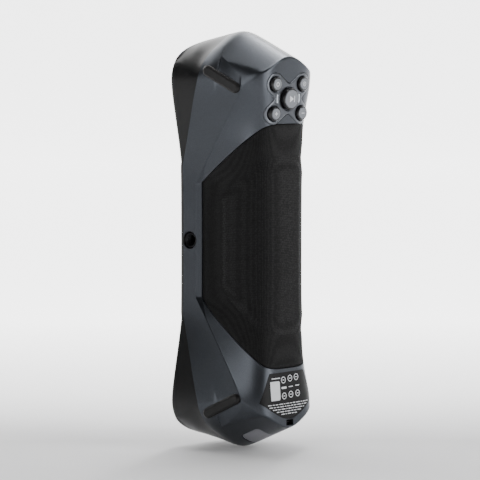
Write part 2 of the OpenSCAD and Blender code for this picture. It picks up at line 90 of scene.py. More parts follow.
def soft_min(a, b, k):
    return (a + b) / 2 - np.sqrt((a - b) ** 2 / 4 + k * k)


def ease(t):
    u = np.clip(t, 0, 1)
    return u * u * (3 - 2 * u)


def side_x(a):
    low = soft_min(WAIST_W / 2 + FLARE * soft_up(a - WAIST_END, 8), HEAD_W / 2 + 0.3, 0.6)
    top = CORNER_X + np.sqrt(np.maximum(CORNER_R ** 2 - (a - CORNER_Z) ** 2, 0))
    tip = CORNER_X + CORNER_END_X - CORNER_END / CORNER_END_X * (a - CORNER_Z - CORNER_END)
    return np.where(a < CORNER_Z, low, np.where(a < CORNER_Z + CORNER_END, top, np.maximum(tip, 1)))


def part_y(a):
    return soft_min(PART_FRONT + 0.4 * soft_up(a - WAIST_END + 0.5, 2), PART_REAR + 0.4, 0.6)


def crease_y(a):
    return np.maximum(STRIP_Y, soft_min(STRIP_Y + 2.4 + (a - CREASE_A) / CREASE_RISE, 17, 1))


def back(a):
    return BACK_Y + 0.07 * soft_up(a - 47, 8)


def part_x(a):
    return side_x(a) - 0.03 * (part_y(a) + FRONT_Y)


def crease_x(a):
    return part_x(a) - (0.05 + 0.14 * ease((a - 35) / 40)) * (crease_y(a) - part_y(a))


def knee_x(a):
    return np.minimum(0.8 * crease_x(a), 19.4 - 2.2 * ease((a - 35) / 25) + 1.3 * ease((a - 60) / 19))


def outline(u, a):
    """The point x, y at station u of the +X half of the level outline at half-height a."""
    x, bevel = side_x(a), 0.2 + (BEVEL - 0.2) * (1 - ease((a - 29) / 12))
    if u <= FRONT:
        r, q = np.minimum(EDGE_R, x / 2), math.radians(90 * u)
        return x - r + r * math.sin(q), -FRONT_Y + r - r * math.cos(q)
    corners = {
        FRONT: (x, -FRONT_Y + EDGE_R),
        PART: (part_x(a), part_y(a)),
        CREASE: (crease_x(a), crease_y(a)),
        STRIP: (crease_x(a) - bevel, crease_y(a) + bevel),
    }
    if u <= STRIP:
        lo = min(math.floor(u), 3)
        t = u - lo
        (x0, y0), (x1, y1) = corners[lo], corners[lo + 1]
        return x0 + (x1 - x0) * t, y0 + (y1 - y0) * t
    t = u - STRIP
    (gx, gy), kx, by = corners[STRIP], knee_x(a), back(a)
    wide, mid, end = (1 - t) ** 3, 3 * t * (1 - t), t ** 3
    return wide * gx + mid * kx, wide * gy + mid * by + end * by


def ridge(y):
    return soft_min(FRONT_RISE * (y - RIDGE_Y), -REAR_FALL * (y - RIDGE_Y), 1)


def crown(x, y):
    t = ease((y + FRONT_Y) / 19)
    s, a = 0.3 + 0.5 * t, 2 + 6 * t
    over = soft_up(x - 26.5 + 0.24 * np.maximum(0, y + 9), 0.5)
    return np.sqrt(a * a + s * s * x * x) - a + 0.45 * over ** 2 * ease((y + 9) / 12)


def dome(x, y):
    return END_Z + ridge(y) - crown(np.abs(x), y)


def solve(f, lo, hi):
    """Where the rising function f crosses zero."""
    for _ in range(40):
        mid = (lo + hi) / 2
        lo, hi = (mid, hi) if f(mid) < 0 else (lo, mid)
    return (lo + hi) / 2


def drop(u):
    """How far the rounding of the front edge lowers the dome at station u."""
    return EDGE_R * (1 - math.sin(math.radians(90 * u))) if u < FRONT else 0.0


def rim_height(u):
    return solve(lambda a: a - dome(*outline(u, a)) + drop(u), 60.0, 108.5)


def grip_height(u, upper, shrink=0.0):
    """Half-height of the grip's upper or lower edge at station u, for a grip shrunk by that much."""
    start, slope = (GRIP_TOP, TOP_RISE) if upper else (GRIP_LOW, LOW_FALL)
    start -= shrink * math.sqrt(1 + slope ** 2)
    return solve(lambda a: a - start - slope * outline(max(u, STRIP), a)[1], 5.0, 80.0)


def spine_y(u, y_rim):
    """Where the dome line of station u meets the middle of the dome."""
    return y_rim if u <= PART else y_rim_part() + 17 * (u - PART) / 3


def y_rim_part():
    return outline(PART, rim_height(PART))[1]


def side_points(u, heights):
    return [(*(float(v) for v in outline(u, a)), a) for a in heights]


def fillet(u):
    """Length of the rounding on each side of the rim: wide at the shoulders, tight at the back."""
    return 7.0 - 6.1 * float(ease((u - PART) / 1.2)) if u > FRONT else 1.4 + 5.6 * u


def dome_points(u, steps=22):
    """From just under the rim, over the rounded edge and up the dome to its middle."""
    a, round_off = rim_height(u), fillet(u)
    x, y = (float(v) for v in outline(u, a))
    y_mid = float(spine_y(u, y))

    def on_dome(s):
        px, py = x * (1 - s), y * (1 - s) + y_mid * s
        return np.array([px, py, float(dome(px, py)) - drop(u)])

    reach = max(math.hypot(x, y - y_mid), 0.01)
    low = np.array([*(float(v) for v in outline(u, a - round_off)), a - round_off])
    start = min(round_off / reach, 0.5)
    tip, high = np.array([x, y, a]), on_dome(start)
    bend = [low * (1 - t) ** 2 + 2 * t * (1 - t) * tip + high * t * t for t in np.linspace(0, 1, 9)]
    rest = [on_dome(start + (1 - start) * t) for t in np.linspace(0, 1, steps + 1)[1:]]
    return [tuple(p) for p in bend + rest]


def quarter(stations, rows_of):
    """A grid of points: one column for each station, from the waist to the middle of the dome."""
    return np.array([rows_of(u) for u in stations], dtype=float)


def grid_normals(p):
    """Outward normals of a quarter grid."""
    du, dv = np.gradient(p, axis=0), np.gradient(p, axis=1)
    n = np.cross(du, dv)
    size = np.linalg.norm(n, axis=2, keepdims=True)
    return n / np.maximum(size, 1e-9)


# ---------------------------------------------------------------- mesh helpers
def new_object(name, verts, faces, scale=MM, shift=(0, MID_Y, 0)):
    mesh = bpy.data.meshes.new(name)
    verts = (np.asarray(verts, dtype=float) + np.array(shift)) * scale
    mesh.from_pydata([tuple(v) for v in verts], [], faces)
    mesh.validate()
    obj = bpy.data.objects.new(name, mesh)
    bpy.context.scene.collection.objects.link(obj)
    return obj


def clean(obj, distance=2e-6):
    bm = bmesh.new()
    bm.from_mesh(obj.data)
    bmesh.ops.remove_doubles(bm, verts=bm.verts, dist=distance)
    bmesh.ops.dissolve_degenerate(bm, edges=bm.edges, dist=1e-7)
    bmesh.ops.recalc_face_normals(bm, faces=bm.faces)
    bm.to_mesh(obj.data)
    bm.free()


def smooth(obj, angle=32):
    for p in obj.data.polygons:
        p.use_smooth = True
    bm = bmesh.new()
    bm.from_mesh(obj.data)
    limit = math.radians(angle)
    for e in bm.edges:
        e.smooth = len(e.link_faces) != 2 or e.calc_face_angle(0) < limit
    bm.to_mesh(obj.data)
    bm.free()


def cells(nu, nv, first=0):
    return [
        (first + i * nv + j, first + (i + 1) * nv + j, first + (i + 1) * nv + j + 1, first + i * nv + j + 1)
        for i in range(nu - 1)
        for j in range(nv - 1)
    ]


def mirrored(name, upper, lower=None):
    """The mirror images of a quarter grid, or of an upper and a lower one, joined."""
    nu, nv = upper.shape[:2]
    verts, faces = [], []
    for sx in (1, -1):
        for sz, p in ((1, upper), (-1, upper if lower is None else lower)):
            first = len(verts)
            verts += [tuple(v) for v in p.reshape(-1, 3) * np.array([sx, 1, sz])]
            quads = cells(nu, nv, first)
            faces += quads if sx * sz > 0 else [q[::-1] for q in quads]
    obj = new_object(name, verts, faces)
    clean(obj)
    return obj


def thicken(obj, mm):
    mod = obj.modifiers.new("wall", "SOLIDIFY")
    mod.thickness = mm * MM
    mod.offset = -1
    mod.use_even_offset = False
    apply_all(obj)


def apply_all(obj):
    with bpy.context.temp_override(object=obj, active_object=obj):
        for mod in list(obj.modifiers):
            bpy.ops.object.modifier_apply(modifier=mod.name)


def lathe(name, profile, place, steps=96):
    """A turned piece: profile is (radius, height) from the axis out and back, in the placed frame's +Y."""
    n = len(profile)
    verts, faces = [], []
    for i in range(steps):
        t = 2 * math.pi * i / steps
        verts += [(r * math.cos(t), h, r * math.sin(t)) for r, h in profile]
    for i in range(steps):
        j = (i + 1) % steps
        faces += [(i * n + k, i * n + k + 1, j * n + k + 1, j * n + k) for k in range(n - 1)]
    obj = new_object(name, verts, faces, shift=(0, 0, 0))
    obj.data.transform(place)
    clean(obj)
    return obj


def join(name, *objs):
    """One object made of several meshes."""
    bm = bmesh.new()
    for o in objs:
        bm.from_mesh(o.data)
    bm.to_mesh(objs[0].data)
    bm.free()
    for o in objs[1:]:
        bpy.data.objects.remove(o)
    objs[0].name = name
    return objs[0]


def cut(obj, *cutters):
    """Takes the cutters out of a closed mesh."""
    for c in cutters:
        mod = obj.modifiers.new("cut", "BOOLEAN")
        mod.object = c
        mod.solver = "MANIFOLD"
    apply_all(obj)
    for c in cutters:
        bpy.data.objects.remove(c)


def prism(name, loop, levels, place=Matrix()):
    """A closed piece over a loop in local x, z: levels are (inset, height along y)."""
    loop = anticlockwise(np.array(loop, float))
    n = len(loop)
    verts = [(x, h, z) for d, h in levels for x, z in inset_loop(loop, d)]
    faces = [
        (k * n + i, k * n + (i + 1) % n, (k + 1) * n + (i + 1) % n, (k + 1) * n + i)
        for k in range(len(levels) - 1)
        for i in range(n)
    ]
    faces += [tuple(range(n))[::-1], tuple(range((len(levels) - 1) * n, len(levels) * n))]
    obj = new_object(name, verts, faces, shift=(0, 0, 0))
    obj.data.transform(place)
    clean(obj)
    return obj


def rounded(points, r, steps=4):
    """A profile whose inner corners are rounded off by r."""
    out = [points[0]]
    for a, b, c in zip(points, points[1:], points[2:]):
        a, b, c = np.array(a, float), np.array(b, float), np.array(c, float)
        ra = min(r, np.linalg.norm(a - b) / 2)
        rc = min(r, np.linalg.norm(c - b) / 2)
        p = b + (a - b) / max(np.linalg.norm(a - b), 1e-9) * ra
        q = b + (c - b) / max(np.linalg.norm(c - b), 1e-9) * rc
        out += [tuple(p * (1 - t) ** 2 + 2 * t * (1 - t) * b + q * t * t) for t in np.linspace(0, 1, steps)]
    return out + [points[-1]]


# ---------------------------------------------------------------- materials
def material(name, build):
    mat = bpy.data.materials.new(name)
    mat.use_nodes = True
    nodes, links = mat.node_tree.nodes, mat.node_tree.links
    nodes.clear()
    out = nodes.new("ShaderNodeOutputMaterial")
    shader = nodes.new("ShaderNodeBsdfPrincipled")
    links.new(shader.outputs[0], out.inputs[0])
    build(nodes, links, shader)
    return mat


def srgb(r, g, b):
    """A colour given as it looks on screen, 0 to 255."""
    def one(v):
        v /= 255
        return v / 12.92 if v <= 0.04045 else ((v + 0.055) / 1.055) ** 2.4
    return (one(r), one(g), one(b), 1)


def coords(nodes, links, scale=(1, 1, 1)):
    tc = nodes.new("ShaderNodeTexCoord")
    mp = nodes.new("ShaderNodeMapping")
    mp.inputs["Scale"].default_value = scale
    links.new(tc.outputs["Object"], mp.inputs[0])
    return mp.outputs[0]


def noise(nodes, links, where, scale, detail=3, rough=0.5):
    n = nodes.new("ShaderNodeTexNoise")
    n.inputs["Scale"].default_value = scale
    n.inputs["Detail"].default_value = detail
    n.inputs["Roughness"].default_value = rough
    links.new(where, n.inputs["Vector"])
    return n.outputs["Fac"]


def ramp(nodes, links, fac, stops):
    r = nodes.new("ShaderNodeValToRGB")
    e = r.color_ramp.elements
    while len(e) < len(stops):
        e.new(0.5)
    for el, (pos, col) in zip(e, stops):
        el.position = pos
        el.color = col
    links.new(fac, r.inputs[0])
    return r.outputs[0]


def grey(v):
    return (v, v, v, 1)


def bump(nodes, links, height, strength, distance, normal=None):
    b = nodes.new("ShaderNodeBump")
    b.inputs["Strength"].default_value = strength
    b.inputs["Distance"].default_value = distance
    links.new(height, b.inputs["Height"])
    if normal is not None:
        links.new(normal, b.inputs["Normal"])
    return b.outputs[0]


def shade(c, k):
    return (c[0] * k, c[1] * k, c[2] * k, 1)


def plastic(name, colour, rough=0.45, grain=1400, depth=0.00004, metallic=0.0, spread=0.1,
            coat=0.0, gloss=0.5):
    """Moulded or painted surface: fine grain, slight mottling, and roughness that varies."""
    def build(nodes, links, shader):
        at = coords(nodes, links)
        big = noise(nodes, links, at, 35, 4)
        fine = noise(nodes, links, at, grain, 2, 0.6)
        tint = ramp(nodes, links, big, [(0.3, shade(colour, 1 - spread)), (0.7, shade(colour, 1 + spread))])
        links.new(tint, shader.inputs["Base Color"])
        rr = ramp(nodes, links, big, [(0.25, grey(rough * 0.88)), (0.75, grey(min(1, rough * 1.12)))])
        links.new(rr, shader.inputs["Roughness"])
        links.new(bump(nodes, links, fine, 0.25, depth), shader.inputs["Normal"])
        shader.inputs["Metallic"].default_value = metallic
        shader.inputs["Specular IOR Level"].default_value = gloss
        shader.inputs["Coat Weight"].default_value = coat
        shader.inputs["Coat Roughness"].default_value = 0.2
    return material(name, build)


def paint(name, colour, rough=0.36, metallic=0.55):
    """Metallic paint: tiny flakes under a satin coat."""
    def build(nodes, links, shader):
        at = coords(nodes, links)
        flake = noise(nodes, links, at, 5200, 1, 0.5)
        cloud = noise(nodes, links, at, 22, 4)
        mix = nodes.new("ShaderNodeMix")
        mix.data_type = "RGBA"
        mix.blend_type = "MULTIPLY"
        mix.inputs[0].default_value = 1
        base = ramp(nodes, links, cloud, [(0.3, shade(colour, 0.95)), (0.7, shade(colour, 1.05))])
        spark = ramp(nodes, links, flake, [(0.35, grey(0.86)), (0.68, grey(1.16))])
        links.new(base, mix.inputs[6])
        links.new(spark, mix.inputs[7])
        links.new(mix.outputs[2], shader.inputs["Base Color"])
        rr = ramp(nodes, links, cloud, [(0.25, grey(rough * 0.9)), (0.75, grey(rough * 1.1))])
        links.new(rr, shader.inputs["Roughness"])
        shader.inputs["Metallic"].default_value = metallic
        fine = noise(nodes, links, at, 2600, 2, 0.6)
        links.new(bump(nodes, links, fine, 0.14, 0.00003), shader.inputs["Normal"])
    return material(name, build)


def pebbled(name, colour, cell=1150, strength=0.6):
    """Rubber with a fine, nearly regular grain of raised dots, painted lighter on their crowns and darker in
    the hollows between them as painted shade.
    """
    def build(nodes, links, shader):
        at = coords(nodes, links)
        v = nodes.new("ShaderNodeTexVoronoi")
        v.feature = "SMOOTH_F1"
        v.inputs["Scale"].default_value = cell
        v.inputs["Smoothness"].default_value = 0.25
        v.inputs["Randomness"].default_value = 0.35
        links.new(at, v.inputs["Vector"])
        height = ramp(nodes, links, v.outputs["Distance"], [(0.05, grey(1)), (0.62, grey(0))])
        # painted shade: the colour is lighter at each dot's crown and darker in the hollows between the dots
        stops = [(0.1, shade(colour, 1.3)), (0.6, shade(colour, 0.6))]
        tint = ramp(nodes, links, v.outputs["Distance"], stops)
        wear = ramp(nodes, links, noise(nodes, links, at, 40, 4), [(0.3, grey(0.85)), (0.7, grey(1.15))])
        mix = nodes.new("ShaderNodeMix")
        mix.data_type = "RGBA"
        mix.blend_type = "MULTIPLY"
        mix.inputs[0].default_value = 1
        links.new(tint, mix.inputs[6])
        links.new(wear, mix.inputs[7])
        links.new(mix.outputs[2], shader.inputs["Base Color"])
        rr = ramp(nodes, links, v.outputs["Distance"], [(0.1, grey(0.5)), (0.6, grey(0.8))])
        links.new(rr, shader.inputs["Roughness"])
        links.new(bump(nodes, links, height, strength, 0.00016), shader.inputs["Normal"])
        shader.inputs["Specular IOR Level"].default_value = 0.22
    return material(name, build)


def brushed(name, colour, rough=0.3, metallic=1.0, across=(60, 1800, 60)):
    def build(nodes, links, shader):
        at = coords(nodes, links, across)
        lines = noise(nodes, links, at, 3, 4, 0.7)
        tint = ramp(nodes, links, lines, [(0.3, shade(colour, 0.86)), (0.7, shade(colour, 1.1))])
        links.new(tint, shader.inputs["Base Color"])
        rr = ramp(nodes, links, lines, [(0.3, grey(rough * 0.8)), (0.7, grey(rough * 1.25))])
        links.new(rr, shader.inputs["Roughness"])
        links.new(bump(nodes, links, lines, 0.1, 0.00003), shader.inputs["Normal"])
        shader.inputs["Metallic"].default_value = metallic
    return material(name, build)


def glassy(name, colour, rough=0.03, alpha=0.35, coat=0.6, gloss=0.5):
    def build(nodes, links, shader):
        at = coords(nodes, links)
        smear = noise(nodes, links, at, 60, 4)
        tint = ramp(nodes, links, smear, [(0.3, shade(colour, 0.9)), (0.7, shade(colour, 1.1))])
        links.new(tint, shader.inputs["Base Color"])
        rr = ramp(nodes, links, smear, [(0.35, grey(rough)), (0.8, grey(rough * 2.5))])
        links.new(rr, shader.inputs["Roughness"])
        shader.inputs["Alpha"].default_value = alpha
        shader.inputs["IOR"].default_value = 1.5
        shader.inputs["Specular IOR Level"].default_value = gloss
        shader.inputs["Coat Weight"].default_value = coat
        shader.inputs["Coat Roughness"].default_value = 0.02
    return material(name, build)


def board(name, colour):
    """Circuit board: solder mask with faint tracks."""
    def build(nodes, links, shader):
        at = coords(nodes, links)
        b = nodes.new("ShaderNodeTexBrick")
        b.inputs["Scale"].default_value = 240
        b.inputs["Color1"].default_value = shade(colour, 1)
        b.inputs["Color2"].default_value = shade(colour, 1.25)
        b.inputs["Mortar"].default_value = shade(colour, 1.9)
        b.inputs["Mortar Size"].default_value = 0.03
        links.new(at, b.inputs["Vector"])
        links.new(b.outputs["Color"], shader.inputs["Base Color"])
        rr = ramp(nodes, links, noise(nodes, links, at, 90), [(0.3, grey(0.3)), (0.7, grey(0.45))])
        links.new(rr, shader.inputs["Roughness"])
    return material(name, build)


MATERIALS = {
    "front_plastic": plastic("front_plastic", srgb(14, 14, 15), 0.34, 1700, 0.00003, gloss=0.28),
    "rear_plastic": paint("rear_plastic", srgb(66, 69, 74), 0.33, 0.85),
    "window_glass": glassy("window_glass", srgb(5, 6, 8), 0.03, 0.4, 0.0, 0.3),
    "gasket_rubber": plastic("gasket_rubber", srgb(14, 14, 16), 0.25),
    "band_plastic": pebbled("band_plastic", srgb(9, 9, 10), 1500, 0.2),
    "grip_rubber": pebbled("grip_rubber", srgb(12, 12, 13), 1150, 0.75),
    "keypad_plastic": paint("keypad_plastic", srgb(86, 89, 94), 0.3, 0.8),
    "button_plastic": plastic("button_plastic", srgb(10, 10, 12), 0.3, coat=0.2),
    "button_face": brushed("button_face", srgb(120, 123, 128), 0.34, 0.6, (900, 900, 900)),
    "plunger_plastic": plastic("plunger_plastic", srgb(160, 84, 50)),
    "switch_plastic": plastic("switch_plastic", srgb(56, 56, 60)),
    "board_green": board("board_green", srgb(24, 92, 56)),
    "steel": brushed("steel", srgb(180, 182, 186)),
    "light_pipe": plastic("light_pipe", srgb(196, 204, 212), 0.3),
    "led_white": plastic("led_white", srgb(226, 226, 218), 0.4),
    "label_black": plastic("label_black", srgb(8, 8, 9), 0.45, 900, 0.00002, gloss=0.2),
    "brass": brushed("brass", srgb(168, 140, 84), 0.32),
    "black_steel": brushed("black_steel", srgb(40, 40, 42), 0.45, 0.8),
    "silicone": plastic("silicone", srgb(200, 150, 165), 0.7),
    "foot_rubber": plastic("foot_rubber", srgb(12, 11, 11), 0.45, 1300, 0.00005, gloss=0.3),
    "cover_grey": plastic("cover_grey", srgb(122, 122, 128), 0.5, 1200, 0.00003),
    "bracket_black": plastic("bracket_black", srgb(34, 34, 37)),
    "frame_aluminium": brushed("frame_aluminium", srgb(186, 188, 192)),
    "barrel_black": plastic("barrel_black", srgb(22, 22, 24), 0.35, 900, 0.00002, 0.4),
    "lens_glass": glassy("lens_glass", srgb(22, 26, 58), 0.02, 0.7),
    "laser_glass": glassy("laser_glass", srgb(52, 72, 150), 0.02, 0.8),
    "led_board": plastic("led_board", srgb(200, 201, 198), 0.5),
}
PRINT = plastic("print_white", srgb(214, 216, 219), 0.5, 900, 0.00001, 0.0, 0.04)
DIFFUSER = plastic("diffuser_smoke", srgb(120, 122, 126), 0.4, 700, 0.00001, gloss=0.3)


def finish_piece(obj, body, slot, nodes=(), angle=32, mat=None):
    """Gives a piece its material, body and slot, and hides the CAD nodes it stands for."""
    obj.data.materials.clear()
    obj.data.materials.append(mat or MATERIALS[slot])
    smooth(obj, angle)
    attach(obj, body)
    if nodes:
        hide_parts(*nodes)
    return obj


# ---------------------------------------------------------------- shells
def shell_rows(u, n_side=70):
    a = rim_height(u) - fillet(u)
    return side_points(u, [a * t for t in np.linspace(0, 1, n_side)][:-1]) + dome_points(u)


def front_inset(edge, d, y):
    """The front edge's column moved inwards over the flat front by d, at depth y."""
    t = np.gradient(edge[:, [0, 2]], axis=0)
    t /= np.linalg.norm(t, axis=1, keepdims=True)
    t[0], t[-1] = (0, 1), (-1, 0)
    inwards = np.stack([-t[:, 1], t[:, 0]], axis=1)
    p = edge.copy()
    p[:, [0, 2]] += d * inwards
    p[:, 1] = y
    p[0, 2], p[-1, 0] = 0, 0
    return p


RECESS_Y = -FRONT_Y + 1.2
RIM_STEPS = [(3.4, RECESS_Y), (2.05, RECESS_Y), (2.0, RECESS_Y + 0.06), (2.0, -FRONT_Y + 0.22),
             (1.95, -FRONT_Y + 0.08), (1.82, -FRONT_Y), (1.2, -FRONT_Y), (0.5, -FRONT_Y)]
CAM_Z, COLOUR_Z, LASER_X, LASER_Z, NIR_Z = 80.0, 34.0, 7.0, 12.0, -36.0


def make_front_shell():
    stations = list(np.linspace(EDGE, FRONT, 7)) + list(np.linspace(FRONT, PART, 14))[1:]
    p = quarter(stations, shell_rows)
    n = grid_normals(p)
    lip = p[-1:] - 0.35 * n[-1:]
    p[-1] = p[-1] * 0.985 + p[-2] * 0.015
    rim = np.array([front_inset(p[0], d, y) for d, y in RIM_STEPS])
    obj = mirrored("front_shell_body", np.concatenate([rim, p, lip], axis=0))
    thicken(obj, 1.6)
    wall = plate(
        "front_wall", glass_loop(2.6), optic_holes(), on_front,
        [(0, -0.01), (0.15, 0)], -2.4, 3.0,
    )
    return join("front_shell_body", obj, wall)


def glass_loop(d):
    """Outline of the front, pulled in by d from its rounded edge."""
    edge = np.array(shell_rows(EDGE, 50))
    q = front_inset(edge, d, 0)[:, [0, 2]]
    right = q[:-1]
    return np.concatenate([right, (q * [-1, 1])[::-1][:-1], right * [-1, -1], (q * [1, -1])[::-1][:-1]])


def on_front(x, z, up=0.0):
    return np.stack([x, RECESS_Y - up, z], axis=-1)


def optic_holes():
    holes = [circle_loop(0, s * CAM_Z, 19.6, 96) for s in (1, -1)]
    holes += [circle_loop(0, COLOUR_Z, 8), circle_loop(0, NIR_Z, 9)]
    return holes + [circle_loop(s * LASER_X, LASER_Z, 5) for s in (1, -1)]


def rear_rows(u, upper, n_grip=46, n_wing=44):
    g = grip_height(u, upper)
    a = rim_height(u) - fillet(u)
    grip = [g * t for t in np.linspace(0, 1, n_grip)]
    wing = [g + 0.12 + (a - g - 0.12) * t for t in np.linspace(0, 1, n_wing)]
    return side_points(u, grip + wing[:-1]) + dome_points(u)


def make_rear_shell():
    n_grip = 46
    stations = (
        list(np.linspace(PART, CREASE, 22))
        + list(np.linspace(CREASE, STRIP, 5))[1:]
        + [STRIP + 0.002]
        + list(STRIP + np.linspace(0.006, 1, 60))
    )
    halves = []
    for upper in (True, False):
        p = quarter(stations, lambda u: rear_rows(u, upper))
        n = grid_normals(p)
        sunk = np.zeros(p.shape[:2])
        sunk[27:, :n_grip] = 1.5
        p = p - n * sunk[:, :, None]
        halves.append(np.concatenate([p[:1] - 0.35 * n[:1], p], axis=0))
    obj = mirrored("rear_shell_body", *halves)
    thicken(obj, 1.6)
    cut(
        obj,
        plate("c1", key_loop(0.2), [], on_back, [(0, 3)], -1.1),
        plate("c2", label_loop(0.12), [], on_back, [(0, 3)], -0.3),
        plate("c3", port_loop(0.35), [], on_end, [(0, 3)], -4, 1.5),
        prism("c4", box_loop(0, STRAP_Z, 5.3, 3.1, 0.35), [(0, 21 + MID_Y), (0, 34)]),
        turned_x("c5", [(0, 14), (4.3, 14), (4.3, 21.2), (4.9, 22.4), (0, 22.4)]),
    )
    return obj


STRAP_Z = -92.45
TRIPOD_Y = -22.1


def turned_x(name, profile, steps=64):
    """A turned piece whose axis is the tripod socket's: profile is (radius, x)."""
    place = Matrix.Translation((0, (TRIPOD_Y + MID_Y) * MM, 0)) @ Matrix.Rotation(-math.pi / 2, 4, "Z")
    return lathe(name, profile, place, steps)


def box_loop(x, z, w, h, r, steps=6):
    """A rectangle with rounded corners."""
    out = []
    for k, (sx, sz) in enumerate([(1, 1), (-1, 1), (-1, -1), (1, -1)]):
        for q in np.linspace(k * math.pi / 2, (k + 1) * math.pi / 2, steps):
            out.append((x + sx * (w / 2 - r) + r * math.cos(q), z + sz * (h / 2 - r) + r * math.sin(q)))
    return out


def key_loop(d):
    """Outline of the X-shaped keypad, grown by d."""
    arm, r, out = math.hypot(KEY_DX, KEY_DZ), LOBE_R + d, []
    for t in np.linspace(0, 2 * math.pi, 240, endpoint=False):
        reach = []
        for s in (1, -1):
            q = t - s * math.atan2(KEY_DZ, KEY_DX)
            far, side = abs(math.cos(q)) * arm, abs(math.sin(q))
            flat = r / max(side, 1e-6)
            end = far + math.sqrt(max(r * r - (side * arm) ** 2, 0))
            reach.append(flat if flat * abs(math.cos(q)) <= arm else end)
        at = -float(soft_min(-reach[0], -reach[1], 0.9))
        out.append((at * math.cos(t), KEY_Z + at * math.sin(t)))
    return out


def label_loop(d):
    xs = np.linspace(-19.3 - d, 19.3 + d, 41)
    low = [(float(x), float(crown(abs(x), 20.0)) - 90.6 - d) for x in xs]
    return low + [(12.8 + d, -66.5 + d), (-12.8 - d, -66.5 + d)]


def port_loop(d):
    return box_loop(0, 11, 24 + 2 * d, 12 + 2 * d, 2.2 + d)


def on_end(x, y, up=0.0):
    """A point on the lower end, over x, y."""
    e = 0.05
    gx = (dome(x + e, y) - dome(x - e, y)) / (2 * e)
    gy = (dome(x, y + e) - dome(x, y - e)) / (2 * e)
    size = np.sqrt(gx * gx + gy * gy + 1)
    return np.stack([x - up * gx / size, y - up * gy / size, -dome(x, y) - up / size], axis=-1)


def make_band():
    n = 46
    stations = list(STRIP + np.concatenate([[0.004, 0.006, 0.01], np.linspace(0.02, 1, 56)]))
    halves = []
    for upper in (True, False):
        ts = np.concatenate([np.linspace(0, 0.985, n), [0.992, 0.996, 1.0]])
        p = quarter(stations, lambda u: side_points(u, (grip_height(u, upper) - 0.1) * ts))
        sink = np.zeros(p.shape[:2])
        for k, depth in enumerate([0.55, 0.25, 0.08]):
            sink[k, :] = np.maximum(sink[k, :], depth)
            sink[:, -1 - k] = np.maximum(sink[:, -1 - k], depth)
        halves.append(p - grid_normals(p) * sink[:, :, None])
    obj = mirrored("grip_band_skin", *halves)
    thicken(obj, 1.3)
    return obj


def along(p):
    """Distances along a row of points."""
    return np.concatenate([[0], np.cumsum(np.linalg.norm(np.diff(p, axis=0), axis=1))])


def make_pad(ramp_mm=5.0):
    u0 = STRIP + 0.12
    stations = list(u0 + (1 - 0.12) * np.concatenate([np.linspace(0, 0.2, 16), np.linspace(0.2, 1, 40)[1:]]))
    ts = np.concatenate([np.linspace(0, 0.8, 34), np.linspace(0.8, 1, 20)[1:]])
    halves = []
    for upper in (True, False):
        p = quarter(stations, lambda u: side_points(u, grip_height(u, upper, BAND_SHOW) * ts))
        from_side = along(p[:, 0])
        rise = np.zeros(p.shape[:2])
        for i in range(p.shape[0]):
            from_end = along(p[i])[-1] - along(p[i])
            d = np.minimum(from_side[i] * 1.6, from_end)
            rise[i] = 0.02 + (PAD_T - 0.05) * ease(d / ramp_mm * 0.5 + 0.12 * np.minimum(d / 0.5, 1))
        halves.append(p + grid_normals(p) * rise[:, :, None])
    obj = mirrored("grip_pad_skin", *halves)
    thicken(obj, 1.0)
    return obj


# ---------------------------------------------------------------- patches on the back
def back_y_at(x, z):
    """Depth of the back surface over the points x, z."""
    a, x = np.abs(z), np.abs(x)
    bevel = 0.2 + (BEVEL - 0.2) * (1 - ease((a - 29) / 12))
    gx, gy, kx, by = crease_x(a) - bevel, crease_y(a) + bevel, knee_x(a), back(a)
    lo, hi = np.zeros(np.shape(x)), np.ones(np.shape(x))
    for _ in range(30):
        t = (lo + hi) / 2
        beyond = (1 - t) ** 3 * gx + 3 * t * (1 - t) * kx > x
        lo, hi = np.where(beyond, t, lo), np.where(beyond, hi, t)
    t = (lo + hi) / 2
    return (1 - t) ** 3 * gy + (3 * t * (1 - t) + t ** 3) * by


def on_back(x, z, up=0.0):
    e = 0.05
    y = back_y_at(x, z)
    nx = -(back_y_at(x + e, z) - back_y_at(x - e, z)) / (2 * e)
    nz = -(back_y_at(x, z + e) - back_y_at(x, z - e)) / (2 * e)
    size = np.sqrt(nx * nx + 1 + nz * nz)
    return np.stack([x + up * nx / size, y + up / size, z + up * nz / size], axis=-1)


def resample(loop, count):
    loop = np.array(loop, float)
    closed = np.concatenate([loop, loop[:1]])
    along = np.concatenate([[0], np.cumsum(np.linalg.norm(np.diff(closed, axis=0), axis=1))])
    at = np.linspace(0, along[-1], count, endpoint=False)
    return np.stack([np.interp(at, along, closed[:, k]) for k in (0, 1)], axis=1)


def inset_loop(loop, d):
    """A closed anticlockwise loop moved inwards by d."""
    before, after = np.roll(loop, 1, axis=0), np.roll(loop, -1, axis=0)
    t = after - before
    t /= np.maximum(np.linalg.norm(t, axis=1, keepdims=True), 1e-9)
    return loop + d * np.stack([-t[:, 1], t[:, 0]], axis=1)


def anticlockwise(loop):
    area = np.sum(loop[:, 0] * np.roll(loop[:, 1], -1) - loop[:, 1] * np.roll(loop[:, 0], -1))
    return loop if area > 0 else loop[::-1]


def inside(points, loop):
    """Which points lie inside a closed loop."""
    x, y = points[:, 0], points[:, 1]
    found = np.zeros(len(points), bool)
    for (x0, y0), (x1, y1) in zip(loop, np.roll(loop, -1, axis=0)):
        if y0 != y1:
            found ^= ((y0 > y) != (y1 > y)) & (x < x0 + (y - y0) / (y1 - y0) * (x1 - x0))
    return found


def loop_length(loop):
    return np.sum(np.linalg.norm(loop - np.roll(loop, -1, axis=0), axis=1))


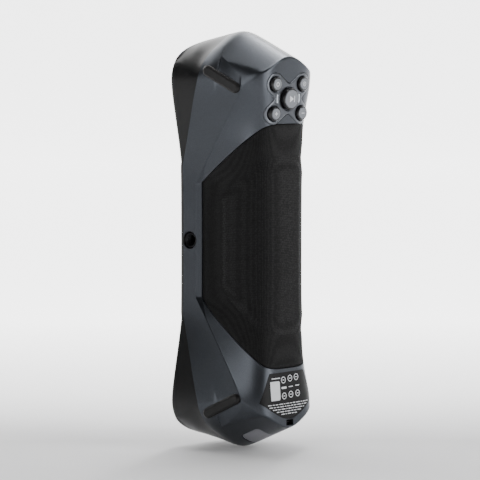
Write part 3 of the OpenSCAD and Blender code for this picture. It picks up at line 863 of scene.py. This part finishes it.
def plate(name, outline_loop, holes, surface, levels, bottom, spacing=1.2):
    """A plate that follows a surface. levels are (inset, height) from its outer edge to its top."""
    loops = [np.array(outline_loop, float)] + [np.array(h, float) for h in holes]
    loops = [resample(l, max(16, int(loop_length(l) / (0.6 * spacing)))) for l in loops]
    loops = [anticlockwise(l) if k == 0 else anticlockwise(l)[::-1] for k, l in enumerate(loops)]
    rings = [(inset_loop(l, d), h) for l in loops for d, h in levels]
    lo, hi = loops[0].min(axis=0), loops[0].max(axis=0)
    xs, zs = (np.arange(lo[k] + spacing / 2, hi[k], spacing) for k in (0, 1))
    grid = np.array([(x, z) for x in xs for z in zs]).reshape(-1, 2)
    keep = inside(grid, loops[0])
    for h in loops[1:]:
        keep &= ~inside(grid, h)
    grid = grid[keep]
    walls = np.concatenate([r for r, _ in rings])
    near = np.linalg.norm(grid[:, None] - walls[None], axis=2)
    grid = grid[np.all(near > 0.45 * spacing, axis=1)]
    points, heights, edges = [], [], []
    for ring, h in rings:
        first, n = len(points), len(ring)
        points += [tuple(p) for p in ring]
        heights += [h] * n
        edges += [(first + i, first + (i + 1) % n) for i in range(n)]
    points += [tuple(p) for p in grid]
    heights += [levels[-1][1]] * len(grid)
    flat, _, tris, origin, _, _ = delaunay_2d_cdt([Vector(p) for p in points], edges, [], 0, 1e-5)
    height = [heights[o[0]] if o else levels[-1][1] for o in origin]
    flat = np.array([tuple(v) for v in flat])
    middle = np.array([flat[list(t)].mean(axis=0) for t in tris])
    keep = inside(middle, loops[0])
    for h in loops[1:]:
        keep &= ~inside(middle, h)
    tris = [tuple(t) for t, k in zip(tris, keep) if k]
    used = {}
    for t in tris:
        for i in range(3):
            used[(t[i], t[(i + 1) % 3])] = True
    n = len(flat)
    x, z = flat[:, 0], flat[:, 1]
    verts = np.concatenate([surface(x, z, np.array(height)), surface(x, z, np.full(n, float(bottom)))])
    faces = tris + [(c + n, b + n, a + n) for a, b, c in tris]
    faces += [(b, a, a + n, b + n) for a, b in used if (b, a) not in used]
    obj = new_object(name, verts, faces)
    clean(obj)
    return obj


def circle_loop(x, z, r, count=48):
    ts = np.linspace(0, 2 * math.pi, count, endpoint=False)
    return [(x + r * math.cos(t), z + r * math.sin(t)) for t in ts]


# ---------------------------------------------------------------- small pieces
def key_frame(x=0.0, z=0.0):
    """The keypad's own frame, its +Y out of the surface."""
    middle = Vector((0, float(back(KEY_Z)) + MID_Y, KEY_Z)) * MM
    return (
        Matrix.Translation(middle)
        @ Matrix.Rotation(-math.atan(0.07), 4, "X")
        @ Matrix.Translation(Vector((x, 0, z)) * MM)
    )


def key_cap(name, r, top, place):
    foot = CAP_FOOT
    out = rounded([(r + 0.6, foot), (r + 0.6, foot + 0.6), (r, foot + 0.7), (r, top - 0.45), (r - 0.4, top),
                   (r - 0.62, top - 0.02), (r - 0.7, top - 0.5)], 0.25, 5)
    return lathe(name, [(0, foot)] + out + [(0, top - 0.5)], place)


def key_face(name, r, top, place):
    top += 0.24
    out = rounded([(r - 0.75, top - 0.8), (r - 0.75, top - 0.22), (r - 1.05, top),
                   (r - 1.6, top - 0.02)], 0.2, 5)
    return lathe(name, [(0, top - 0.8)] + out + [(0, top - 0.06)], place)


def ring_mark(name, r, w, place, top):
    return lathe(name, [(r - w / 2, top - 0.15), (r - w / 2, top), (r + w / 2, top), (r + w / 2, top - 0.15),
                        (r - w / 2, top - 0.15)], place, 48)


def bar_mark(name, x, z, w, h, place, top):
    return prism(name, box_loop(x, z, w, h, min(w, h) * 0.3, 3), [(0, top - 0.15), (0, top)], place)


SMALL_KEYS = {"upper_left": (1, 1), "upper_right": (-1, 1), "lower_left": (1, -1), "lower_right": (-1, -1)}


def key_mark(name, place, top):
    """The plain symbol on a small button: a ring, a ring with a dot, a plus or a minus."""
    if name == "upper_left":
        parts = [ring_mark("m", 0.95, 0.4, place, top)]
    elif name == "upper_right":
        parts = [ring_mark("m", 1.0, 0.3, place, top), bar_mark("n", 0, 0, 0.6, 0.6, place, top)]
    else:
        parts = [bar_mark("m", 0, 0, 2.1, 0.4, place, top)]
        if name == "lower_left":
            parts.append(bar_mark("n", 0, 0, 0.4, 2.1, place, top))
    return join(name + "_mark", *parts)


def make_keys():
    place, top = key_frame(), KEY_UP + 0.21
    finish_piece(key_cap("play_cap", PLAY_R, KEY_UP, place), "play", "button_plastic", ["play_button"])
    finish_piece(key_face("play_disc", PLAY_R, KEY_UP, place), "play", "button_face", ["play_face"])
    arrow = prism("arrow", [(1.5, -1.7), (1.5, 1.7), (-1.3, 0)], [(0, top - 0.1), (0, top)], place)
    mark = join("play_mark", arrow, bar_mark("stroke", -1.95, 0, 0.45, 3.3, place, top))
    finish_piece(mark, "play", "button_face", mat=PRINT)
    for name, (sx, sz) in SMALL_KEYS.items():
        place, top = key_frame(sx * KEY_DX, sz * KEY_DZ), SMALL_UP + 0.21
        cap = key_cap(name + "_cap", SMALL_R, SMALL_UP, place)
        finish_piece(cap, name, "button_plastic", [name + "_button"])
        disc = key_face(name + "_disc", SMALL_R, SMALL_UP, place)
        finish_piece(disc, name, "button_face", [name + "_face"])
        finish_piece(key_mark(name, place, top), name, "button_face", mat=PRINT)


LIGHT_R = 8.35                # from the play button's axis to the middle of a status light


def arc_loop(side, r, w, half):
    """A curved slot beside the play button."""
    ts = np.linspace(-half, half, 17)
    outer = [(side * (r + w / 2) * math.cos(t), KEY_Z + (r + w / 2) * math.sin(t)) for t in ts]
    inner = [(side * (r - w / 2) * math.cos(t), KEY_Z + (r - w / 2) * math.sin(t)) for t in ts[::-1]]
    return outer + inner


def make_keypad():
    holes = [circle_loop(0, KEY_Z, PLAY_R + 0.5, 72)]
    holes += [circle_loop(sx * KEY_DX, KEY_Z + sz * KEY_DZ, SMALL_R + 0.35, 56)
              for sx, sz in SMALL_KEYS.values()]
    holes += [arc_loop(s, LIGHT_R, 1.15, math.radians(16)) for s in (1, -1)]
    obj = plate("keypad_skin", key_loop(0), holes, on_back,
                [(0, -0.12), (0.12, 0.02), (0.3, 0.1)], -1.05, 0.8)
    finish_piece(obj, "root", "keypad_plastic", ["keypad_plate"], 40)
    pipes = [plate("p", arc_loop(s, LIGHT_R, 0.85, math.radians(15.4)), [], on_back,
                   [(0, -0.02), (0.1, 0.04)], -1, 0.6) for s in (1, -1)]
    finish_piece(join("light_windows", *pipes), "root", "light_pipe", ["light_pipes"])


def make_label():
    obj = plate("label_film", label_loop(0), [], on_back, [(0, -0.16), (0.08, -0.1)], -0.28, 1.6)
    finish_piece(obj, "root", "label_black", ["label_plate"])
    marks = []

    def mark(x, z, w, h, r=0.15):
        loop = box_loop(x, z, w, h, min(r, w / 2.5, h / 2.5), 3)
        marks.append(plate("m", loop, [], on_back, [(0, -0.07)], -0.12, 2.0))

    mark(9.4, -75.6, 6.6, 9.8)
    mark(8.6, -69.2, 6.4, 0.5)
    for x, z in ((3.2, -70.4), (-1.8, -69.9), (-6.6, -69.6), (3.1, -78.6), (-2.0, -78.2), (-7.2, -78.0)):
        ring, hole = circle_loop(x, z, 1.75, 28), circle_loop(x, z, 1.35, 24)
        marks.append(plate("r", ring, [hole], on_back, [(0, -0.07)], -0.12, 2.0))
        mark(x, z, 1.6, 0.4)
    mark(3.0, -74.4, 3.8, 1.1)
    mark(-2.2, -74.2, 3.4, 0.5)
    mark(-7.2, -74.0, 3.2, 0.5)
    rows = [(-82.6, 15.6), (-83.9, 14.2), (-85.2, 12.0), (-86.5, 9.4), (-87.8, 6.0)]
    for k, (z, half) in enumerate(rows):
        at, step = -half, 0
        while at < half - 1:
            w = (1.6, 2.6, 1.1, 3.2, 2.0)[(k + step) % 5]
            w = min(w, half - at)
            mark(at + w / 2, z, w, 0.45)
            at += w + 0.5
            step += 1
    finish_piece(join("label_print", *marks), "root", "label_black", mat=PRINT)


def stadium(length, width, steps=14):
    half = (length - width) / 2
    ts = np.linspace(-math.pi / 2, math.pi / 2, steps)
    right = [(half + width / 2 * math.cos(t), width / 2 * math.sin(t)) for t in ts]
    return right + [(-x, -z) for x, z in right]


FOOT_Z, FOOT_Y, FOOT_LEN, FOOT_W, FOOT_TILT = 83.6, 5.0, 24.0, 5.6, 27.0


def make_feet():
    lean = 0.05 + 0.14 * float(ease((FOOT_Z - 35) / 40))
    x = float(part_x(FOOT_Z)) - lean * (FOOT_Y - float(part_y(FOOT_Z)))
    levels = [(0, -1.0), (0, 0.2), (0.12, 0.34), (0.85, 1.04), (1.05, 1.14), (1.4, 1.18)]
    for name, (sx, sz) in SMALL_KEYS.items():
        place = (
            Matrix.Translation(Vector((sx * x, FOOT_Y + MID_Y, sz * FOOT_Z)) * MM)
            @ Matrix.Rotation(sx * math.atan(lean), 4, "Z")
            @ Matrix.Rotation(math.radians(-sz * FOOT_TILT), 4, "X")
            @ Matrix(((0, sx, 0, 0), (1, 0, 0, 0), (0, 0, 1, 0), (0, 0, 0, 1)))
        )
        foot = prism(name + "_pad", stadium(FOOT_LEN, FOOT_W), levels, place)
        finish_piece(foot, "root", "foot_rubber", [name + "_foot"], 24)


def make_socket():
    """The threaded insert, with a ring for each turn of its thread."""
    out, pitch = [(3.9, 13.6), (3.9, 21.15), (3.55, 21.4), (3.2, 21.1)], 1.27
    x = 20.9
    while x > 14.4:
        out += [(3.18, x), (2.75, x - pitch / 2), (3.18, x - pitch)]
        x -= pitch
    obj = turned_x("socket", [(0, 12.6), (3.9, 12.6)] + out + [(2.7, 13.6), (0, 13.4)], 72)
    finish_piece(obj, "root", slot_of["tripod_insert"], ["tripod_insert"], 25)


def make_glass():
    levels = [(0, 0.92), (0.06, 1.04), (0.2, 1.1)]
    obj = plate("front_glass", glass_loop(2.15), [], on_front, levels, 0.15, 4.0)
    finish_piece(obj, "root", "window_glass", ["front_window"])


def front_frame(x, z):
    """A frame on the front whose +Y points out of the lenses."""
    return Matrix.Translation(Vector((x, MID_Y, z)) * MM) @ Matrix.Rotation(math.pi, 4, "Z")


def make_optics():
    for name, z in (("upper_camera", CAM_Z), ("lower_camera", -CAM_Z)):
        lens_set(name, 0, z, 8.5, 24.4)
        ring = lathe(
            name + "_diffuser",
            rounded([(10, 25.2), (10, 26.5), (10.4, 26.6), (18.6, 26.6), (19, 26.5), (19, 25.2),
                     (10, 25.2)], 0.3),
            front_frame(0, z), 120,
        )
        finish_piece(ring, "root", "led_white", ["ring_diffusers"], 40, DIFFUSER)
    lens_set("colour_camera", 0, COLOUR_Z, 6.5, 25.0)


def lens_set(name, x, z, r, y):
    """A lens barrel with stepped baffles, and its front glass."""
    profile = [(0, 13), (r, 13), (r, y - 1.4), (r - 0.4, y - 1), (r - 0.4, y - 0.2), (r - 1, y),
               (r - 1, y + 1.1), (r - 1.2, y + 1.2), (r - 1.9, y + 1.2), (r - 2.1, y + 0.9),
               (r - 2.15, y - 0.2), (r - 2.6, y - 0.5), (r - 2.7, y - 1.4), (r - 3.3, y - 1.7),
               (r - 3.5, y - 4), (r - 4.4, y - 4.3), (r - 4.5, y - 8), (0, y - 8.2)]
    barrel = lathe(name + "_tube", rounded(profile, 0.12, 3), front_frame(x, z), 96)
    finish_piece(barrel, "root", "barrel_black", [name + "_barrel"], 30)
    w = r - 2.25
    glass = [(0, y - 1.5), (w, y - 1.5), (w, y - 0.9)]
    glass += [(w * k, y - 0.9 + 0.9 * (1 - k * k)) for k in np.linspace(0.97, 0, 14)]
    front = lathe(name + "_glass", glass, front_frame(x, z), 96)
    finish_piece(front, "root", "lens_glass", [name + "_lens"], 60)


def make_port_cover():
    obj = plate("port_door", port_loop(0), [], on_end, [(0, -0.25), (0.12, -0.1), (0.35, -0.04)], -1.6, 1.2)
    finish_piece(obj, "root", "cover_grey", ["port_cover"])


# ---------------------------------------------------------------- build
slot_of = {s["node"]: s["material_slot"] for s in frame["record"]["subparts"]}
for name, obj in frame["nodes"].items():
    obj.data.materials.clear()
    obj.data.materials.append(MATERIALS[slot_of[name]])

finish_piece(make_front_shell(), "root", "front_plastic", ["front_shell"], 28)
finish_piece(make_rear_shell(), "root", "rear_plastic", ["rear_shell"], 28)
finish_piece(make_band(), "root", "band_plastic", ["grip_band"], 40)
finish_piece(make_pad(), "root", "grip_rubber", ["grip_pad"], 40)
make_keys()
make_keypad()
make_label()
make_feet()
make_socket()
make_glass()
make_optics()
make_port_cover()


# ---------------------------------------------------------------- studio
def area_light(name, size, power, place, aim=(0, 0, 0), colour=(1, 1, 1)):
    data = bpy.data.lights.new(name, "AREA")
    data.shape = "RECTANGLE"
    data.size, data.size_y = size
    data.energy = power
    data.color = colour
    obj = bpy.data.objects.new(name, data)
    obj.location = place
    obj.rotation_euler = (Vector(aim) - Vector(place)).to_track_quat("-Z", "Y").to_euler()
    bpy.context.scene.collection.objects.link(obj)
    return obj


# ---------------------------------------------------------------- studio, in metres
AZIMUTH, ELEVATION, DISTANCE, FOV = 133.0, 4.5, 1.37, 10.38
AIM_SIDE = 0.005              # how far the aim point lies left of the body's middle
SENSOR = 36.0


def view_axes(azimuth, elevation):
    a, e = math.radians(azimuth), math.radians(elevation)
    towards = Vector((math.sin(a) * math.cos(e), -math.cos(a) * math.cos(e), math.sin(e)))
    right = Vector((math.cos(a), math.sin(a), 0))
    return towards, right


towards, right = view_axes(AZIMUTH, ELEVATION)
target = Vector((0, MID_Y * MM, 0)) - right * AIM_SIDE
camera_data = bpy.data.cameras.new("camera")
camera_data.sensor_width = SENSOR
camera_data.sensor_fit = "HORIZONTAL"
camera_data.lens = SENSOR / 2 / math.tan(math.radians(FOV / 2))
camera = bpy.data.objects.new("camera", camera_data)
camera.location = target + towards * DISTANCE
camera.rotation_euler = (target - camera.location).to_track_quat("-Z", "Y").to_euler()
bpy.context.scene.collection.objects.link(camera)
bpy.context.scene.camera = camera


def from_view(along, side, height):
    """A point given by its distances towards the camera, to its right and up."""
    return towards * along + right * side + Vector((0, 0, height))


area_light("right_soft", (0.28, 1.3), 10, from_view(0.45, 1.0, 0.3))
area_light("left_soft", (0.3, 1.2), 5, from_view(0.8, -0.9, 0.2))
area_light("top_strip", (0.08, 0.9), 7, from_view(-0.27, 0.08, 0.97))
area_light("top_left", (0.3, 0.3), 1.4, from_view(-0.4, -0.6, 0.8))
area_light("low_right", (0.4, 0.3), 1.5, from_view(0.7, 0.7, -0.08))

world = bpy.data.worlds.new("studio")
world.use_nodes = True
sky, sky_links = world.node_tree.nodes, world.node_tree.links
position = sky.new("ShaderNodeTexCoord")
split = sky.new("ShaderNodeSeparateXYZ")
sky_links.new(position.outputs["Generated"], split.inputs[0])
sky_stops = [(0.0, grey(0.3)), (0.08, grey(0.25)), (0.3, grey(0.04)), (1, grey(0.012))]
steps = ramp(sky, sky_links, split.outputs["Z"], sky_stops)
sky_links.new(steps, sky["Background"].inputs[0])
sky["Background"].inputs[1].default_value = 1.0
bpy.context.scene.world = world

# The floor runs back level, then bends up into the backdrop, in mm
FLOOR_GAP, FLOOR_NEAR, FLOOR_HALF, BACKDROP_TOP = 0.2, -6000.0, 7000.0, 7000.0
BEND_R, BEND_AT = 1500.0, 3000.0
# The backdrop glows, and the floor by the object hardly does, which paints shade round the object: reach in
# metres, and full strength
GLOW_REACH, GLOW_POWER = 1.0, 3.6
floor_z = cad_box[0][2] / MM - FLOOR_GAP
bend = [(BEND_AT + BEND_R * math.sin(q), BEND_R * (1 - math.cos(q)))
        for q in np.linspace(0, math.pi / 2, 24)]
sweep = [(FLOOR_NEAR, 0.0)] + bend + [(BEND_AT + BEND_R, BACKDROP_TOP)]
facing = math.radians(AZIMUTH)
away = np.array([-math.sin(facing), math.cos(facing)])
across = np.array([away[1], -away[0]])
floor_verts = [(*(away * d + across * w), floor_z + h) for w in (-FLOOR_HALF, FLOOR_HALF) for d, h in sweep]
floor = new_object("floor", floor_verts, cells(2, len(sweep)), shift=(0, 0, 0))
for polygon in floor.data.polygons:
    polygon.use_smooth = True
floor_mat = plastic("floor_pale", srgb(205, 205, 206), 0.9, 200, 0.00001, 0.0, 0.01)
floor_nodes, floor_links = floor_mat.node_tree.nodes, floor_mat.node_tree.links
spot = floor_nodes.new("ShaderNodeTexCoord")
turned = floor_nodes.new("ShaderNodeVectorRotate")
turned.rotation_type = "Z_AXIS"
turned.inputs["Angle"].default_value = -facing
floor_links.new(spot.outputs["Object"], turned.inputs["Vector"])
parts = floor_nodes.new("ShaderNodeSeparateXYZ")
floor_links.new(turned.outputs[0], parts.inputs[0])
reach = floor_nodes.new("ShaderNodeMapRange")
reach.inputs["From Min"].default_value = -GLOW_REACH
reach.inputs["From Max"].default_value = GLOW_REACH
floor_links.new(parts.outputs["Y"], reach.inputs["Value"])
# painted shade: the floor's glow falls to almost nothing just round the object and rises to full strength
# behind it
glow_with_painted_shade = ramp(floor_nodes, floor_links, reach.outputs[0],
            [(0.15, grey(0.3)), (0.4, grey(0.06)), (0.51, grey(0.02)), (0.6, grey(0.4)), (0.8, grey(1.0))])
power = floor_nodes.new("ShaderNodeMath")
power.operation = "MULTIPLY"
power.inputs[1].default_value = GLOW_POWER
floor_links.new(glow_with_painted_shade, power.inputs[0])
shine = floor_nodes["Principled BSDF"]
shine.inputs["Emission Color"].default_value = (1, 1, 1, 1)
floor_links.new(power.outputs[0], shine.inputs["Emission Strength"])
floor.data.materials.append(floor_mat)

bpy.context.view_layer.update()
